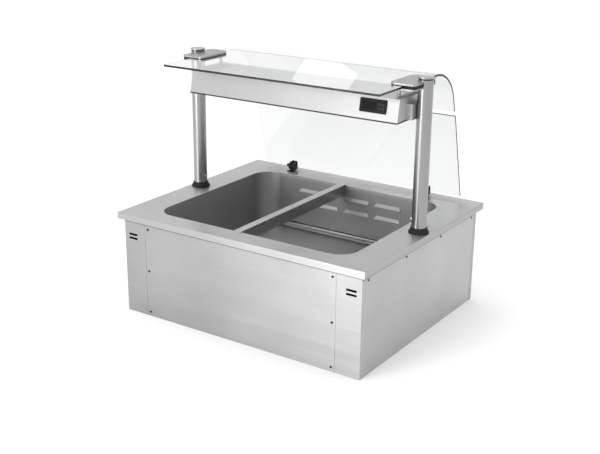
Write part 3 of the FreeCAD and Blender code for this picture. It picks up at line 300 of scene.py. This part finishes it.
def satin_metal(name, dark, light, rough, scale=SATIN_CLOUD, groove_shade=False):
    """Metal with a fine cloudy finish, bare, plated or cast, and black below the cap's rim as painted
    shade of its groove, when that is asked for.
    """
    tree, shader = new_material(name)
    grain = noise(tree, scale * SATIN_FINENESS, RICH_LAYERS, GRAIN_HARSHNESS)
    cloud = noise(tree, scale, RICH_LAYERS)
    color = blend_colors(tree, spread(tree, cloud), dark, light)
    shader.inputs["Metallic"].default_value = 1.0
    # Painted shade: black below the cap's rim, in its groove
    if groove_shade:
        color = paint_groove_shade_below_rim(tree, shader, color)
    tree.links.new(color, shader.inputs["Base Color"])
    add_roughness(tree, shader, grain, rough, OTHER_SWING)
    add_relief(tree, shader, grain, SATIN_RELIEF)


def moulded(name, dark, light, rough, gloss=PLAIN_GLOSS, scale=MOULDED_GRAIN, relief=MOULDED_RELIEF):
    """Plastic, rubber, paint or foam with its own fine grain."""
    tree, shader = new_material(name)
    grain = noise(tree, scale)
    cloud = noise(tree, scale / MOULDED_FINENESS, RICH_LAYERS)
    color = blend_colors(tree, spread(tree, cloud), dark, light)
    tree.links.new(color, shader.inputs["Base Color"])
    shader.inputs["Specular IOR Level"].default_value = gloss
    add_roughness(tree, shader, cloud, rough, OTHER_SWING)
    add_relief(tree, shader, grain, relief)


def clear_glass(name, tint):
    """Float glass: clear through its faces, green where the eye looks along it."""
    tree, shader = new_material(name)
    shader.inputs["Transmission Weight"].default_value = 1.0
    shader.inputs["IOR"].default_value = GLASS_IOR
    shader.inputs["Base Color"].default_value = (*tint, 1.0)
    smear = noise(tree, GLASS_SMEAR)
    tree.links.new(spread(tree, smear, GLASS_ROUGH), shader.inputs["Roughness"])
    inside = tree.nodes.new("ShaderNodeVolumeAbsorption")
    inside.inputs["Color"].default_value = (*GLASS_DEPTH_COLOR, 1.0)
    inside.inputs["Density"].default_value = GLASS_DEPTH_DENSITY
    output = next(node for node in tree.nodes if node.type == "OUTPUT_MATERIAL")
    tree.links.new(inside.outputs["Volume"], output.inputs["Volume"])


def make_steels():
    """Brushed stainless sheet, bar and tube: darkest and lightest tone, roughness and brushed axis."""
    brushed_steel("steel_x", grey(0.43), grey(0.53), SHEET_ROUGH, "x", pulled=True, shade_upright_faces=True)
    brushed_steel("fascia_steel", grey(0.51), grey(0.60), 0.53, "x", pulled=True, shade_upright_faces=True)
    # The front and side panels get a painted shade line under the counter's lip
    brushed_steel("front_steel", grey(0.33), grey(0.42), SHEET_ROUGH, "x",
                  pulled=True, lip_shade_heights=FRONT_LIP_SHADE_HEIGHTS)
    brushed_steel("steel_y", grey(0.43), grey(0.53), SHEET_ROUGH, "y",
                  pulled=True, lip_shade_heights=SIDE_LIP_SHADE_HEIGHTS)
    brushed_steel("well_x", grey(0.40), grey(0.46), INNER_ROUGH, "x", INNER_RELIEF)
    brushed_steel("louvre_steel", grey(0.33), grey(0.39), INNER_ROUGH, "x", INNER_RELIEF)
    brushed_steel("sill_steel", grey(0.54), grey(0.62), MATT_ROUGH, "x", INNER_RELIEF)
    brushed_steel("bar_steel", grey(0.42), grey(0.48), 0.28, "y")
    brushed_steel("post_steel", grey(0.30), grey(0.36), 0.24, "z", POST_RELIEF,
                  pulled=True, turned=POST_TURN)
    brushed_steel("end_steel", grey(0.50), grey(0.58), MATT_ROUGH, "y")


def make_metals():
    """Small parts and unbrushed metals: darkest and lightest tone and roughness."""
    satin_metal("plate_steel", grey(0.32), grey(0.38), 0.40)
    satin_metal("cap_steel", grey(0.34), grey(0.40), 0.26, groove_shade=True)
    satin_metal("zinc", (0.45, 0.47, 0.48), (0.58, 0.60, 0.61), 0.42)
    satin_metal("screw", grey(0.01), grey(0.03), 0.50, SCREW_CLOUD)
    satin_metal("side_screw", grey(0.12), grey(0.18), 0.40, SCREW_CLOUD)
    satin_metal("bright_screw", grey(0.60), grey(0.70), 0.30, SCREW_CLOUD)
    satin_metal("aluminium", (0.66, 0.67, 0.68), (0.76, 0.77, 0.78), 0.34)
    satin_metal("brass", (0.55, 0.40, 0.20), (0.68, 0.52, 0.28), 0.30)


def make_mouldings():
    """Paint, plastic, rubber and foam: darkest and lightest tone, roughness and gloss."""
    moulded("black_metal", grey(0.006), grey(0.014), 0.42, 0.3)
    moulded("dark_trim", grey(0.02), grey(0.035), 0.5, 0.2)
    moulded("black_plastic", (0.012, 0.012, 0.013), (0.022, 0.022, 0.023), 0.55, 0.08)
    moulded("key_plastic", (0.030, 0.030, 0.032), (0.045, 0.045, 0.047), 0.5, 0.15)
    moulded("grey_plastic", (0.40, 0.41, 0.42), (0.46, 0.47, 0.48), 0.5)
    moulded("display", (0.004, 0.004, 0.005), (0.009, 0.009, 0.011), 0.30, 0.04, relief=0.0)
    moulded("rubber", grey(0.008), grey(0.016), 0.6, 0.25)
    moulded("opal", (0.80, 0.80, 0.78), (0.86, 0.86, 0.84), 0.5)
    # The foam's black is painted shade, where it shows through the air openings
    moulded("foam", (0.012, 0.012, 0.013), (0.025, 0.025, 0.026), 0.9, 0.2, FOAM_GRAIN, FOAM_RELIEF)


def make_glasses():
    clear_glass("shelf_glass", (0.905, 0.912, 0.907))
    clear_glass("screen_glass", (0.868, 0.878, 0.873))


# Nodes that each material dresses

NODE_MATERIALS = {
    "steel_x": ("counter_top", "rear_panel"),
    "front_steel": ("front_panel", "left_front_strip", "right_front_strip"),
    "fascia_steel": ("gantry_housing",),
    "steel_y": ("left_side_panel", "right_side_panel"),
    "end_steel": ("left_gantry_end", "right_gantry_end", "gantry_brackets"),
    "well_x": ("well_liner", "drain_fitting", "drain_strainer"),
    "louvre_steel": ("rear_air_panel",),
    "sill_steel": ("air_return_sill",),
    "bar_steel": ("divider_bar",),
    "post_steel": ("left_post", "right_post", "clamp_spacers"),
    "plate_steel": ("left_clamp_plate", "right_clamp_plate", "lower_clamp_plates"),
    "cap_steel": ("post_caps",),
    "zinc": ("base_plate", "side_rails", "post_feet", "post_backing_plates"),
    "screw": ("front_panel_screws", "post_nuts", "clamp_bolts"),
    "side_screw": ("side_panel_screws",),
    "bright_screw": ("post_screws",),
    "aluminium": ("evaporator_coil",),
    "brass": ("drain_nut",),
    "black_metal": ("hinge_bases", "left_hinge_jaw", "right_hinge_jaw", "hinge_pins"),
    "dark_trim": ("gantry_under_frame",),
    "black_plastic": (
        "cable_gland", "controller_bezel", "controller_body", "fan_plate", "left_fan_rotor",
        "right_fan_rotor",
    ),
    "key_plastic": ("up_button", "down_button", "set_button", "power_button"),
    "grey_plastic": ("terminal_box",),
    "display": ("display_window",),
    "rubber": ("post_collars", "glass_gaskets", "glass_shoes"),
    "opal": ("light_diffuser", "led_strip"),
    "foam": ("well_insulation",),
    "shelf_glass": ("curved_glass",),
    "screen_glass": ("rear_glass",),
}


def dress_nodes():
    for key, names in NODE_MATERIALS.items():
        for name in names:
            mesh = nodes[name].data
            mesh.materials.clear()
            mesh.materials.append(materials[key])


# Floor, in metres, just under the part

FLOOR_REACH = 40.0
FLOOR_LEVEL = -0.0005
FLOOR_ROUGH = 0.9
FLOOR_GLOSS = 0.1


def make_floor():
    mesh = bpy.data.meshes.new("floor")
    corners = [
        (-FLOOR_REACH, -FLOOR_REACH, FLOOR_LEVEL),
        (FLOOR_REACH, -FLOOR_REACH, FLOOR_LEVEL),
        (FLOOR_REACH, FLOOR_REACH, FLOOR_LEVEL),
        (-FLOOR_REACH, FLOOR_REACH, FLOOR_LEVEL),
    ]
    mesh.from_pydata(corners, [], [(0, 1, 2, 3)])
    floor = bpy.data.objects.new("floor", mesh)
    bpy.context.scene.collection.objects.link(floor)
    tree, shader = new_material("floor")
    color = blend_colors(tree, noise(tree, FLOOR_CLOUD), grey(0.97), grey(0.99))
    tree.links.new(color, shader.inputs["Base Color"])
    shader.inputs["Roughness"].default_value = FLOOR_ROUGH
    shader.inputs["Specular IOR Level"].default_value = FLOOR_GLOSS
    mesh.materials.append(materials["floor"])


# Light, in metres, degrees and watts

SKY_STRENGTH = 1.02
LIGHT_TARGET_HEIGHT = 0.3


def add_softbox(name, turn, distance, height, size, power, roll=0.0):
    """Rectangular light that faces the part's middle, turned to the left of its front."""
    light = bpy.data.lights.new(name, "AREA")
    light.shape = "RECTANGLE"
    light.size, light.size_y = size
    light.energy = power
    lamp = bpy.data.objects.new(name, light)
    angle = math.radians(turn)
    lamp.location = (-distance * math.sin(angle), -distance * math.cos(angle), height)
    away = lamp.location - Vector((0.0, 0.0, LIGHT_TARGET_HEIGHT))
    facing = away.to_track_quat("Z", "Y")
    lamp.rotation_euler = (facing @ Quaternion((0.0, 0.0, 1.0), math.radians(roll))).to_euler()
    lamp.visible_camera = False
    bpy.context.scene.collection.objects.link(lamp)


def make_light():
    world = bpy.data.worlds.new("world")
    world.use_nodes = True
    bpy.context.scene.world = world
    background = world.node_tree.nodes["Background"]
    background.inputs["Color"].default_value = (*grey(1.0), 1.0)
    background.inputs["Strength"].default_value = SKY_STRENGTH
    add_softbox("front_softbox", turn=13.0, distance=4.3, height=1.3, size=(1.4, 2.4), power=78.0)
    add_softbox("front_fill", turn=25.0, distance=4.3, height=1.3, size=(0.7, 2.4), power=27.0)
    add_softbox("top_softbox", turn=125.0, distance=0.4, height=3.4, size=(2.6, 2.0), power=20.0)
    # Weak and rolled, behind the part: the shelf glass mirrors it where the gantry's top shows through
    add_softbox("rear_card", turn=148.65, distance=3.823, height=1.513, size=(0.345, 0.26),
                power=0.123, roll=-32.0)


make_camera()
make_steels()
make_metals()
make_mouldings()
make_glasses()
dress_nodes()
make_floor()
make_light()

scene = bpy.context.scene
scene.view_settings.view_transform = "Standard"
scene.cycles.use_denoising = True
